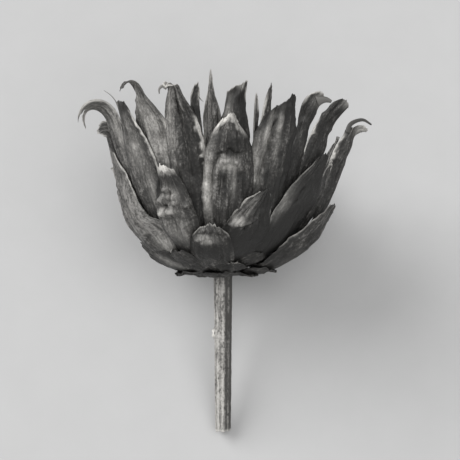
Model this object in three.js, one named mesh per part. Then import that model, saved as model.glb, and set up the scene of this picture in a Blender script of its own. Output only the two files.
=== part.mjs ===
// A dried, opened artichoke head on its cut stem, laid down on a flat surface.
// The head is a wide cup of leathery bracts that overlap in layers, from small scales under the
// bowl to long narrow bracts whose tips curl outwards. The cup is empty: its florets are gone.
// Millimetres. The head is built upright round its own axis and is laid down at the end.

import * as THREE from "three";

// ---------------------------------------------------------------- driving dimensions

const LIE_ANGLE = 23; // from the surface up to the head's axis, in degrees

const RIM_ANGLE = 76; // how steep the cup's wall is at the rim, in degrees from flat
const BOWL_TURN = 33; // the length of wall over which the bowl turns up
const BOWL_DIP = -1; // the middle of the bowl's underside, from the top of the stem
const LAYER_GAP = 1.2; // from one layer of bracts to the next, face to face
const LAYER_ENDS = [17, 28, 42, 62, 78, 92, 100, 110]; // where each layer stops along the wall
const FADE_BEFORE = 4; // a layer starts to thin out this far before its end
const FADE_AFTER = 16; // and the layers inside it have closed up this far past it

const BRACT_THICK = 0.7;
const EDGE_SHARE = 0.5; // a bract's thickness at its sides, as a share of the middle
const TIP_SHARE = 0.6; // and at its tip
const ROW_LENGTH = 7; // one row of facets along a bract
const HOOK_STEP = 25; // one row of facets along a hooked tip, in degrees
const FACETS_ACROSS = 4;
const FACETS_ACROSS_SPIKE = 2;
const SPIKE_WIDTH = 8; // a bract narrower than this has the fewer facets

const STEM_LENGTH = 61;
const STEM_TOP_RADIUS = 3.45;
const STEM_END_RADIUS = 2.85;
const STEM_RIBS = 8;
const STEM_RIB_HEIGHT = 0.16;
const STEM_TOP_GAP = 0.3; // clearance between the stem and the receptacle
const STEM_SIDES = 32;

const RECEPTACLE_SIDES = 32;
const RECEPTACLE_CLEARANCE = 0.95; // from the outermost layer's middle, where the receptacle starts
const RECEPTACLE_SLOPE = 0.4; // how fast it draws in from the wall, as each layer starts
const RECEPTACLE_START = 6;
const RECEPTACLE_END = 29;
const RECEPTACLE_TOP_DISH = 1.5;

// Half-width of a bract at seven even stations from its base to its tip, as a share of its widest.
const FORMS = {
  ovate: [0.38, 0.66, 0.88, 1, 0.92, 0.64, 0.12],
  round: [0.4, 0.68, 0.9, 1, 0.96, 0.78, 0.4],
  lance: [0.4, 0.68, 0.9, 1, 0.84, 0.46, 0.1],
  tailed: [0.4, 0.7, 0.92, 1, 0.98, 0.44, 0.08],
  blunt: [0.38, 0.66, 0.88, 1, 0.94, 0.76, 0.42],
  strap: [0.45, 0.76, 1, 0.96, 0.78, 0.54, 0.36],
  paddle: [0.45, 0.76, 1, 0.96, 0.82, 0.72, 0.66],
  scale: [0.34, 0.62, 0.88, 1, 0.96, 0.76, 0.3],
  spike: [0.6, 0.9, 1, 0.86, 0.62, 0.4, 0.14],
};

// Every bract, from the outermost layer in. Azimuth 0 is the side that ends up on top when the
// head lies down, and grows to the right as seen from there. Columns: name, layer, azimuth,
// turn of the azimuth from base to tip, start along the wall, length, width, form, outward flare,
// outward hook of the tip, where the hook starts, sideways curl of the tip, extra cupping.
const BRACTS = [
  ["base_scale_1", 0, -6, 0, 4.5, 12, 9, "scale", 6, 0, 0.8, 0, 0.1],
  ["base_scale_2", 0, 52, 0, 4.5, 11, 10, "scale", 30, 0, 0.8, 0, 0.1],
  ["base_scale_3", 0, 118, 0, 4.5, 14, 11, "scale", 10, 0, 0.8, 0, 0.1],
  ["base_scale_4", 0, -172, 0, 4.5, 14, 10.5, "scale", 10, 0, 0.8, 0, 0.1],
  ["base_scale_5", 0, -116, 0, 4.5, 14, 10.5, "scale", 10, 0, 0.8, 0, 0.1],
  ["base_scale_6", 0, -61, 0, 4.5, 15, 11, "scale", 22, 0, 0.8, 0, 0.1],
  ["low_scale_1", 1, 10, 2, 9, 15, 13, "scale", 0, 0, 0.8, 0, 0.1],
  ["low_scale_2", 1, 58, 8, 9, 15, 15, "scale", 28, 0, 0.8, 0, 0.1],
  ["low_scale_3", 1, 108, 2, 9, 21, 13, "scale", 6, 0, 0.8, 0, 0.1],
  ["low_scale_4", 1, 158, 2, 9, 20, 14, "scale", 4, 0, 0.8, 0, 0.1],
  ["low_scale_5", 1, -142, -2, 9, 22, 14, "scale", 4, 0, 0.8, 0, 0.1],
  ["low_scale_6", 1, -74, -6, 9, 26, 14, "scale", 0, 0, 0.8, 0, 0.1],
  ["low_scale_7", 1, -35, -1, 9, 24, 11, "round", 2, 0, 0.8, 0, 0.1],
  ["short_bract_1", 2, -9, 2, 13, 32, 17, "round", 2, 0, 0.8, 0, 0.2],
  ["short_bract_2", 2, 30, 7, 13, 17, 13, "round", 2, 0, 0.8, 0, 0.1],
  ["short_bract_3", 2, 72, 13, 13, 41, 17, "ovate", 6, 0, 0.8, 0, 0.1],
  ["short_bract_4", 2, 124, 2, 13, 34, 17, "ovate", 4, 0, 0.8, 0, 0.1],
  ["short_bract_5", 2, 172, -2, 13, 30, 16, "round", 4, 0, 0.8, 0, 0.1],
  ["short_bract_6", 2, -132, -2, 13, 32, 17, "ovate", 4, 0, 0.8, 0, 0.1],
  ["outer_bract_1", 3, 5, 18, 16, 42, 17.5, "ovate", 2, 0, 0.8, 0, 0.2],
  ["outer_bract_2", 3, 42, 16, 16, 56, 19, "ovate", 2, 0, 0.8, 0, 0.1],
  ["outer_bract_3", 3, 84, 2, 16, 74, 13, "strap", 8, 85, 0.84, 0, 0.6],
  ["outer_bract_4", 3, 153, 5, 16, 51, 20, "ovate", 12.6, 0, 0.8, 0, -0.1],
  ["outer_bract_5", 3, -154, -5, 16, 51, 20, "ovate", 11.6, 0, 0.8, 0, -0.1],
  ["outer_bract_6", 3, -108, -4, 16, 44, 18, "ovate", 4, 0, 0.8, 0, 0.1],
  ["outer_bract_7", 3, -62, -16, 16, 58, 20, "ovate", -4, 0, 0.8, 0, 0.1],
  ["wall_bract_1", 4, 2, 1.5, 19, 67, 19.5, "round", 3, 0, 0.8, 0, 0.1],
  ["wall_bract_2", 4, 68, 4, 19, 50, 16.5, "ovate", -1, 0, 0.8, 0, 0.1],
  ["wall_bract_3", 4, 114, 4, 19, 48, 19, "ovate", 2, 0, 0.8, 0, 0.1],
  ["wall_bract_4", 4, 178, 2, 19, 60, 19, "ovate", 3, 0, 0.8, 0, 0.1],
  ["wall_bract_5", 4, -130, -4, 19, 56, 19, "ovate", 3, 0, 0.8, 0, 0.1],
  ["wall_bract_6", 4, -88, -2, 19, 48, 17, "ovate", -1, 0, 0.8, 0, 0.1],
  ["wall_bract_7", 4, -29, 0.5, 19, 48, 17, "ovate", 1, 0, 0.8, 0, 0.2],
  ["tall_bract_1", 5, 24, 2, 22, 71, 18.5, "blunt", 0, 10, 0.85, 0, 0.1],
  ["tall_bract_2", 5, 53, 3, 22, 72, 12, "paddle", 0, 36, 0.72, 0, 0.5],
  ["tall_bract_3", 5, 100, 2, 22, 58, 16, "lance", 0, 10, 0.8, 0, 0.2],
  ["tall_bract_4", 5, 152, 2, 22, 60, 17, "lance", 0, 10, 0.8, 0, 0.2],
  ["tall_bract_5", 5, -156, 2, 22, 64, 17, "lance", 0, 10, 0.8, 0, 0.2],
  ["tall_bract_6", 5, -112, 2, 22, 66, 11, "strap", 0, 120, 0.86, 0, 0.2],
  ["tall_bract_7", 5, -46, -3, 22, 69, 17, "blunt", 0, 0, 0.8, 0, 0.1],
  ["tall_bract_8", 5, -20, 0, 22, 75, 16.5, "blunt", 0, 20, 0.85, -30, 0.2],
  ["inner_bract_1", 6, 5, 2, 24, 73, 12.5, "blunt", 0, 10, 0.85, 15, 0.2],
  ["inner_bract_2", 6, 40, 3, 24, 72, 11, "paddle", 0, 30, 0.75, 0, 0.5],
  ["inner_bract_3", 6, 128, 3, 24, 54, 14, "lance", 0, 0, 0.75, 0, 0.2],
  ["inner_bract_4", 6, 178, 3, 24, 58, 14, "lance", 0, 0, 0.75, 0, 0.2],
  ["inner_bract_5", 6, -132, 3, 24, 56, 14, "lance", 0, 0, 0.75, 0, 0.2],
  ["inner_bract_6", 6, -65, -4, 24, 77, 13, "strap", 0, 150, 0.78, 0, 0.5],
  ["inner_bract_7", 6, -36, -3, 24, 80, 16, "tailed", 0, 140, 0.85, 0, 0.1],
  ["inner_bract_8", 6, -11.5, -1, 24, 71, 5, "spike", 0, 0, 0.85, 25, 0.2],
  ["heart_bract_1", 7, -5, 0, 26, 74, 10.5, "lance", -2, 0, 0.8, 0, 0.2],
  ["heart_bract_2", 7, 9.5, 2, 26, 64, 4.5, "spike", 0, 0, 0.8, 0, 0.2],
  ["heart_bract_3", 7, 20, 2, 26, 70, 5.5, "spike", 0, 0, 0.8, 0, 0.2],
];

// ---------------------------------------------------------------- materials

const bractMaterial = new THREE.MeshStandardMaterial({ color: 0x4a4641, roughness: 0.6 });
const scaleMaterial = new THREE.MeshStandardMaterial({ color: 0x403c38, roughness: 0.65 });
const stemMaterial = new THREE.MeshStandardMaterial({ color: 0x6b665f, roughness: 0.7 });
const receptacleMaterial = new THREE.MeshStandardMaterial({ color: 0x857d70, roughness: 0.9 });

// ---------------------------------------------------------------- small helpers

const radians = THREE.MathUtils.degToRad;

function ease(from, to, x) {
  const t = Math.min(Math.max((x - from) / (to - from), 0), 1);
  return t * t * (3 - 2 * t);
}

function spread(from, to, count) {
  return Array.from({ length: count + 1 }, (_, i) => from + ((to - from) * i) / count);
}

// A smooth curve through evenly spaced values, read at t from 0 to 1.
function curveThrough(values, t) {
  const last = values.length - 1;
  const x = Math.min(Math.max(t, 0), 1) * last;
  const i = Math.min(Math.floor(x), last - 1);
  const f = x - i;
  const before = i > 0 ? values[i - 1] : 2 * values[0] - values[1];
  const after = i + 2 <= last ? values[i + 2] : 2 * values[last] - values[last - 1];
  const a = values[i];
  const b = values[i + 1];
  const cubic = f * (3 * (a - b) + after - before);
  return a + 0.5 * f * (b - before + f * (2 * before - 5 * a + 4 * b - after + cubic));
}

// ---------------------------------------------------------------- the cup's wall

const WALL_STEP = 0.5;
const WALL_LENGTH = 130;

function wallAngle(s) {
  return radians(RIM_ANGLE) * (1 - Math.exp(-((s / BOWL_TURN) ** 2)));
}

// The outermost surface, from the middle of the underside up the wall, as [radius, height].
function walkWall() {
  const points = [[0, BOWL_DIP]];
  for (let s = WALL_STEP; s <= WALL_LENGTH; s += WALL_STEP) {
    const [r, h] = points[points.length - 1];
    const a = wallAngle(s - WALL_STEP);
    const b = wallAngle(s);
    const dr = ((Math.cos(a) + Math.cos(b)) * WALL_STEP) / 2;
    const dh = ((Math.sin(a) + Math.sin(b)) * WALL_STEP) / 2;
    points.push([r + dr, h + dh]);
  }
  return points;
}

const WALL = walkWall();

// The point a depth inside the wall, at an arc length from the middle.
function wallPoint(s, depth) {
  const x = Math.min(s / WALL_STEP, WALL.length - 1.001);
  const i = Math.floor(x);
  const f = x - i;
  const angle = wallAngle(s);
  const r = WALL[i][0] * (1 - f) + WALL[i + 1][0] * f - depth * Math.sin(angle);
  const h = WALL[i][1] * (1 - f) + WALL[i + 1][1] * f + depth * Math.cos(angle);
  return { r, h, angle };
}

// How far inside the wall a layer lies: a gap for each layer outside it that reaches this far.
function layerDepth(layer, s) {
  let depth = 0;
  for (let j = 0; j < layer; j++) {
    depth += LAYER_GAP * (1 - ease(LAYER_ENDS[j] - FADE_BEFORE, LAYER_ENDS[j] + FADE_AFTER, s));
  }
  return depth;
}

// ---------------------------------------------------------------- one bract

function readBract(row) {
  const [name, layer, azimuth, turn, start, length, width, form] = row;
  const [flare, hook, hookAt, curl, cup] = row.slice(8);
  return { name, layer, azimuth, turn, start, length, width, form, flare, hook, hookAt, curl, cup };
}

function halfWidth(bract, t) {
  const end = Math.max((t - 0.92) / 0.08, 0);
  const share = curveThrough(FORMS[bract.form], t) * Math.sqrt(1 - 0.85 * end * end);
  return (Math.max(share, 0.03) * bract.width) / 2;
}

// The line up a bract's middle: points in fine steps, each with its direction across.
function midrib(bract) {
  const steps = 80;
  const ds = bract.length / steps;
  const points = [];
  let out = 0;
  let up = 0;
  let aside = 0;
  let last = null;
  for (let i = 0; i <= steps; i++) {
    const t = i / steps;
    const s = bract.start + bract.length * t;
    const { r, h, angle } = wallPoint(s, layerDepth(bract.layer, s));
    const hooked = ease(bract.hookAt, 1, t);
    const lean = angle - radians(bract.flare) * ease(0.35, 1, t) - radians(bract.hook) * hooked;
    const side = radians(bract.curl) * hooked;
    const drift = {
      out: Math.cos(lean) * Math.cos(side) - Math.cos(angle),
      up: Math.sin(lean) * Math.cos(side) - Math.sin(angle),
      aside: Math.sin(side),
    };
    if (last) {
      out += ((drift.out + last.out) * ds) / 2;
      up += ((drift.up + last.up) * ds) / 2;
      aside += ((drift.aside + last.aside) * ds) / 2;
    }
    last = drift;
    const azimuth = radians(bract.azimuth + bract.turn * t ** 1.4);
    const outward = new THREE.Vector3(Math.sin(azimuth), -Math.cos(azimuth), 0);
    const across = new THREE.Vector3(Math.cos(azimuth), Math.sin(azimuth), 0);
    const point = outward.clone().multiplyScalar(r + out).addScaledVector(across, aside);
    point.z = h + up;
    points.push({ t, point, across, curve: Math.max(Math.sin(lean), 0) / Math.max(r, 6) });
  }
  return points;
}

// A frame on the midrib at t: the point, the directions across and outward, and the curvature
// across, which follows the cup's own roundness.
function midribFrame(points, t) {
  const last = points.length - 1;
  const i = Math.round(t * last);
  const before = points[Math.max(i - 1, 0)].point;
  const after = points[Math.min(i + 1, last)].point;
  const along = after.clone().sub(before).normalize();
  const across = points[i].across.clone();
  across.addScaledVector(along, -across.dot(along)).normalize();
  const outward = across.clone().cross(along);
  return { point: points[i].point, across, outward, curve: points[i].curve };
}

function stationsAlong(bract) {
  const bodyRows = Math.max(3, Math.round((bract.length * bract.hookAt) / ROW_LENGTH));
  const tipRows = Math.max(2, Math.ceil(bract.hook / HOOK_STEP));
  const body = spread(0, bract.hookAt, bodyRows);
  return [...body, ...spread(bract.hookAt, 1, tipRows).slice(1)];
}

// The bract's outer and inner faces, as two grids of points.
function bractFaces(bract) {
  const points = midrib(bract);
  const across = bract.width < SPIKE_WIDTH ? FACETS_ACROSS_SPIKE : FACETS_ACROSS;
  const outer = [];
  const inner = [];
  for (const t of stationsAlong(bract)) {
    const frame = midribFrame(points, t);
    const half = halfWidth(bract, t);
    const cupping = (bract.cup * ease(0.25, 0.8, t)) / (bract.width / 2);
    const curve = Math.max(frame.curve + cupping, 1e-5);
    const outerRow = [];
    const innerRow = [];
    for (const v of spread(-1, 1, across)) {
      const turned = half * v * curve;
      const middle = frame.point.clone();
      middle.addScaledVector(frame.across, Math.sin(turned) / curve);
      middle.addScaledVector(frame.outward, (Math.cos(turned) - 1) / curve);
      const normal = frame.outward.clone().multiplyScalar(Math.cos(turned));
      normal.addScaledVector(frame.across, Math.sin(turned));
      const thinning = (1 - (1 - EDGE_SHARE) * v * v) * (1 - (1 - TIP_SHARE) * t * t);
      const halfThick = (BRACT_THICK * thinning) / 2;
      outerRow.push(middle.clone().addScaledVector(normal, halfThick));
      innerRow.push(middle.clone().addScaledVector(normal, -halfThick));
    }
    outer.push(outerRow);
    inner.push(innerRow);
  }
  return { outer, inner };
}

// Closes two matching grids of points into one solid.
function closedSheet(outer, inner) {
  const rows = outer.length;
  const columns = outer[0].length;
  const vertices = [...outer.flat(), ...inner.flat()];
  const offset = rows * columns;
  const top = (i, j) => i * columns + j;
  const bottom = (i, j) => offset + i * columns + j;
  const faces = [];
  const quad = (a, b, c, d) => faces.push(a, b, c, a, c, d);
  for (let i = 0; i < rows - 1; i++) {
    for (let j = 0; j < columns - 1; j++) {
      quad(top(i, j), top(i, j + 1), top(i + 1, j + 1), top(i + 1, j));
      quad(bottom(i, j), bottom(i + 1, j), bottom(i + 1, j + 1), bottom(i, j + 1));
    }
    const right = columns - 1;
    quad(top(i, 0), top(i + 1, 0), bottom(i + 1, 0), bottom(i, 0));
    quad(top(i, right), bottom(i, right), bottom(i + 1, right), top(i + 1, right));
  }
  for (let j = 0; j < columns - 1; j++) {
    const end = rows - 1;
    quad(top(0, j), bottom(0, j), bottom(0, j + 1), top(0, j + 1));
    quad(top(end, j), top(end, j + 1), bottom(end, j + 1), bottom(end, j));
  }
  const geometry = new THREE.BufferGeometry().setFromPoints(vertices);
  geometry.setIndex(faces);
  geometry.computeVertexNormals();
  return geometry;
}

function makeBract(row) {
  const bract = readBract(row);
  const { outer, inner } = bractFaces(bract);
  const material = bract.layer < 2 ? scaleMaterial : bractMaterial;
  const mesh = new THREE.Mesh(closedSheet(outer, inner), material);
  mesh.name = bract.name;
  return mesh;
}

// ---------------------------------------------------------------- stem and receptacle

// A solid from a stack of rings, each a list of points round the axis, closed at both ends.
function ringStack(rings) {
  const sides = rings[0].length;
  const vertices = rings.flat();
  const faces = [];
  for (let i = 0; i < rings.length - 1; i++) {
    for (let j = 0; j < sides; j++) {
      const k = (j + 1) % sides;
      const a = i * sides + j;
      const b = i * sides + k;
      faces.push(a, b, b + sides, a, b + sides, a + sides);
    }
  }
  const centre = (ring) => {
    const sum = new THREE.Vector3();
    ring.forEach((p) => sum.add(p));
    return sum.divideScalar(ring.length);
  };
  const bottom = vertices.length;
  vertices.push(centre(rings[0]), centre(rings[rings.length - 1]));
  const lastRing = (rings.length - 1) * sides;
  for (let j = 0; j < sides; j++) {
    const k = (j + 1) % sides;
    faces.push(bottom, k, j);
    faces.push(bottom + 1, lastRing + j, lastRing + k);
  }
  const geometry = new THREE.BufferGeometry().setFromPoints(vertices);
  geometry.setIndex(faces);
  geometry.computeVertexNormals();
  return geometry;
}

function ring(radiusAt, height, sides) {
  return spread(0, 2 * Math.PI, sides)
    .slice(0, sides)
    .map((a) => new THREE.Vector3(radiusAt(a) * Math.cos(a), radiusAt(a) * Math.sin(a), height));
}

function makeStem() {
  const top = wallPoint(0, RECEPTACLE_CLEARANCE).h - STEM_TOP_GAP;
  const heights = [-STEM_LENGTH, -44, -28, -14, -5, -1.5, top];
  const rings = heights.map((height) => {
    const share = (height + STEM_LENGTH) / STEM_LENGTH;
    const radius = STEM_END_RADIUS + (STEM_TOP_RADIUS - STEM_END_RADIUS) * share;
    const ribbed = (a) => radius + STEM_RIB_HEIGHT * Math.cos(STEM_RIBS * a);
    return ring(ribbed, height, STEM_SIDES);
  });
  const mesh = new THREE.Mesh(ringStack(rings), stemMaterial);
  mesh.name = "stem";
  return mesh;
}

// The disc that every bract grows from. Its side draws in from the wall as the layers start.
function makeReceptacle() {
  const profile = spread(RECEPTACLE_START / 2, RECEPTACLE_END, 9).map((s) => {
    const past = Math.max(s - RECEPTACLE_START, 0);
    return wallPoint(s, RECEPTACLE_CLEARANCE + RECEPTACLE_SLOPE * past);
  });
  const rim = profile[profile.length - 1];
  const rings = profile.map(({ r, h }) => ring(() => r, h, RECEPTACLE_SIDES));
  rings.push(ring(() => rim.r * 0.9, rim.h + 0.6, RECEPTACLE_SIDES));
  rings.push(ring(() => rim.r * 0.55, rim.h + 0.6 - RECEPTACLE_TOP_DISH * 0.6, RECEPTACLE_SIDES));
  rings.push(ring(() => rim.r * 0.2, rim.h + 0.6 - RECEPTACLE_TOP_DISH, RECEPTACLE_SIDES));
  const mesh = new THREE.Mesh(ringStack(rings), receptacleMaterial);
  mesh.name = "receptacle";
  return mesh;
}

// ---------------------------------------------------------------- the whole head, laid down

const group = new THREE.Group();
group.name = "artichoke_head";
group.add(makeStem());
group.add(makeReceptacle());
BRACTS.forEach((row) => group.add(makeBract(row)));

group.rotation.x = -radians(90 - LIE_ANGLE);
group.updateMatrixWorld(true);
const box = new THREE.Box3().setFromObject(group, true);
const middle = box.getCenter(new THREE.Vector3());
group.position.set(-middle.x, -middle.y, -box.min.z);

export default group;
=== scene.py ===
"""A dried, opened artichoke head on its cut stem, laid down on a pale surface in soft light.

The head is built upright round its own axis in millimetres, with its origin where the stem meets
it: x to the right, -y towards the side that ends up on top, z along the axis towards the tips of
the bracts. Each CAD node is replaced by one finer piece on the same wall of the same cup, and
everything is then laid down on the frame's stem. Azimuths are in degrees from the top side,
growing to the right.
"""

import math

import bpy
import numpy as np
from mathutils import Matrix, Vector

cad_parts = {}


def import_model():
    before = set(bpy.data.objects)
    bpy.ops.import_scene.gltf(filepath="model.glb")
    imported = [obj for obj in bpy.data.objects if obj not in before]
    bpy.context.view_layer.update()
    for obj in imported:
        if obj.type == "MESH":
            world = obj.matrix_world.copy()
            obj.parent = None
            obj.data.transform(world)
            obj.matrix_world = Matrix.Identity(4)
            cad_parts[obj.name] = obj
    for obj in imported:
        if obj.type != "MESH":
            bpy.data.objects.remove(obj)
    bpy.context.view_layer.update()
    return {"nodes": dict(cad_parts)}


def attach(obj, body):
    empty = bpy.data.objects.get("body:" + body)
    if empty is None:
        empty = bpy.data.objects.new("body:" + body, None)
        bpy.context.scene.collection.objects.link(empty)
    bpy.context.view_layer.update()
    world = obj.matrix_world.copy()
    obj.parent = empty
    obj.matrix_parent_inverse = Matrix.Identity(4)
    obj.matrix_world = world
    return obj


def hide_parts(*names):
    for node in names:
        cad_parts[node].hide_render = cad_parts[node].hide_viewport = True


# ---------- driving dimensions, mm and degrees

LIE_ANGLE = 23.0  # from the surface up to the head's axis
RIM_ANGLE = 76.0  # slope of the cup's wall at its rim
BOWL_TURN = 33.0  # length along the wall by which it has mostly turned up
BOWL_DIP = -1.0  # height of the wall at the axis, from the top of the stem
LAYER_GAP = 1.2  # from one layer of bracts to the next one inside it
LAYER_ENDS = (17, 28, 42, 62, 78, 92, 100, 110)  # how far along the wall each layer reaches
FADE_BEFORE = 4.0  # the gap closes from this far before a layer's end
FADE_AFTER = 16.0  # until this far beyond it
STEM_LENGTH = 61.0
STEM_TOP_RADIUS = 3.45
STEM_END_RADIUS = 2.85

# Half widths at even steps from root to tip, as shares of the widest.
FORMS = {
    "ovate": (0.38, 0.66, 0.88, 1, 0.92, 0.64, 0.12),
    "round": (0.40, 0.68, 0.90, 1, 0.96, 0.78, 0.40),
    "lance": (0.40, 0.68, 0.90, 1, 0.84, 0.46, 0.10),
    "strap": (0.45, 0.76, 1, 0.96, 0.78, 0.54, 0.36),
    "scale": (0.34, 0.62, 0.88, 1, 0.96, 0.76, 0.30),
}

# Each layer's bracts are named after it and counted from 1, and lie outside the next layer's. Most
# values are the CAD part's; some finer pieces have a length, a width, a place or a bend of their
# own. turn: degrees of azimuth gained by the tip. form: "own" where the outline is in LOOKS. flare:
# degrees it leans out by its tip. cup: how much its margins turn in. hook and curl: degrees its end
# bends out and aside, from hook_at, a share of its length, on.
COLUMNS = "azimuth turn length width form flare cup hook hook_at curl".split()
UNBENT = (0.1, 0, 0.8, 0)  # the last four, where a row leaves them out
STARTS = (4.5, 9, 13, 16, 19, 22, 24, 26)  # how far along the wall each layer's roots are
LAYERS = {
    "base_scale": [
        (-6, 0, 13, 13, "scale", 6),
        (52, 0, 11, 13, "scale", 30),
        (118, 0, 14, 11, "scale", 10),
        (-172, 0, 14, 10.5, "scale", 10),
        (-116, 0, 14, 10.5, "scale", 10),
        (-61, 0, 15, 15, "scale", 22),
    ],
    "low_scale": [
        (6, 2, 15, 14, "scale", -14),
        (58, 8, 14, 16, "scale", 32),
        (108, 2, 21, 13, "scale", 6),
        (158, 2, 20, 14, "scale", 4),
        (-142, -2, 22, 14, "scale", 4),
        (-60, -16, 27, 14, "own", -6),
        (-35, -1, 24, 13, "round", 2),
    ],
    "short_bract": [
        (-9, 2, 32, 15, "own", 2, 0.2),
        (30, 7, 15, 14, "round", -14),
        (66, 14, 41, 17, "own", 6),
        (124, 2, 34, 17, "ovate", 4),
        (172, -2, 30, 16, "round", 4),
        (-132, -2, 32, 17, "ovate", 4),
    ],
    "outer_bract": [
        (5, 18, 42, 17.5, "own", 2, 0.2),
        (40, 16, 56, 19, "own", 2),
        (84, 2, 76, 13, "own", 8, 0.6, 95, 0.84),
        (153, 5, 51, 20, "ovate", 12.6, -0.1),
        (-154, -5, 51, 20, "ovate", 11.6, -0.1),
        (-108, -4, 44, 18, "ovate", 4),
        (-62, -16, 58, 20, "own", -8),
    ],
    "wall_bract": [
        (2, 1.5, 67, 19.5, "own", 3),
        (68, 4, 50, 16.5, "ovate", -1),
        (114, 4, 48, 19, "ovate", 2),
        (178, 2, 60, 19, "ovate", 3),
        (-130, -4, 56, 19, "ovate", 3),
        (-88, -2, 48, 17, "ovate", -1),
        (-29, 0.5, 49, 17, "own", 1, 0.2),
    ],
    "tall_bract": [
        (24, 2, 71, 18.5, "own", 0, 0.1, 10, 0.85),
        (53, 3, 72, 12, "own", 0, 0.5, 36, 0.72),
        (100, 2, 58, 16, "lance", 0, 0.2, 10),
        (152, 2, 60, 17, "lance", 0, 0.2, 10),
        (-156, 2, 64, 17, "lance", 0, 0.2, 10),
        (-112, 2, 67, 16, "own", 0, 0.2, 120, 0.86),
        (-46, -3, 69, 17, "own", 0),
        (-20, 0, 78.5, 16.5, "own", 0, 0.2, 135, 0.9, -14),
    ],
    "inner_bract": [
        (5, 2, 73, 12.5, "own", 0, 0.2, 10, 0.85, 15),
        (40.5, 3, 72, 11, "own", 0, 0.5, 30, 0.75),
        (128, 3, 54, 14, "lance", 0, 0.2),
        (178, 3, 58, 14, "lance", 0, 0.2),
        (-132, 3, 56, 14, "lance", 0, 0.2),
        (-65, -4, 77, 13, "strap", 0, 0.5, 200, 0.77),
        (-36, -3, 80, 16, "own", 0, 0.1, 140, 0.85),
        (-11.5, -1, 72.5, 5, "own", 0, 0.2, 0, 0.85, 25),
    ],
    "heart_bract": [
        (-5, 0, 74.5, 10.5, "own", -2, 0.2),
        (21, -6, 66, 4.5, "own", 0, 0.2),
        (18.8, 2, 70, 5.5, "own", 0, 0.2),
    ],
}

# ---------- what each bract looks like

# t is a share of the bract's length from its root, and v a share across from -1 at its left edge
# to 1 at its right. Sizes are in mm.
# tone: how much paler than usual the whole bract is, partly its own colour and partly painted shade,
# set low on the bracts at the right and at the bottom of the cup, which lie in shade
# belly: how far its lower and its upper half stand out from the wall
# twist: degrees it turns about its midrib by its tip
# ribs: how deep its pleats are, a plain bract's being 1
# roll: degrees its left and its right margin turn in
# bumps: (from t, to t, height, count) of small lumps at random places
# edges: (t, left, right) half widths
# tip: (v, t) of the torn end
# lumps: (t, v, height, length, width) of raised or sunk spots
# folds: (height, width, path) of raised or sunk creases, the path in (t, v)
# pale and dark: (t, v, strength, length, width) of bleached patches and of darker patches, these partly
# stains and partly painted shade: shadows cast by neighbouring bracts, shade under rolled tips and in
# folds
# rims: (side, from t, to t, width, strength) of papery margins, side 0 being the tip
# strands: (t, v, width, path) of torn threads, the path across, along and outward
PLAIN_LOOK = {
    "tone": 0.0, "belly": (0, 0), "twist": 0, "ribs": 1.0, "roll": (10, 10), "bumps": (0, 1, 0, 0),
    "tip": [(-1, 0.95), (-0.4, 0.985), (0, 1), (0.4, 0.985), (1, 0.95)],
    "lumps": [],
    "folds": [],
    "pale": [],
    "dark": [],
    "rims": [(-1, 0.4, 1.0, 0.4, 0.4), (0, 0.9, 1.0, 0.6, 0.6)],
    "strands": [],
}
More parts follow.
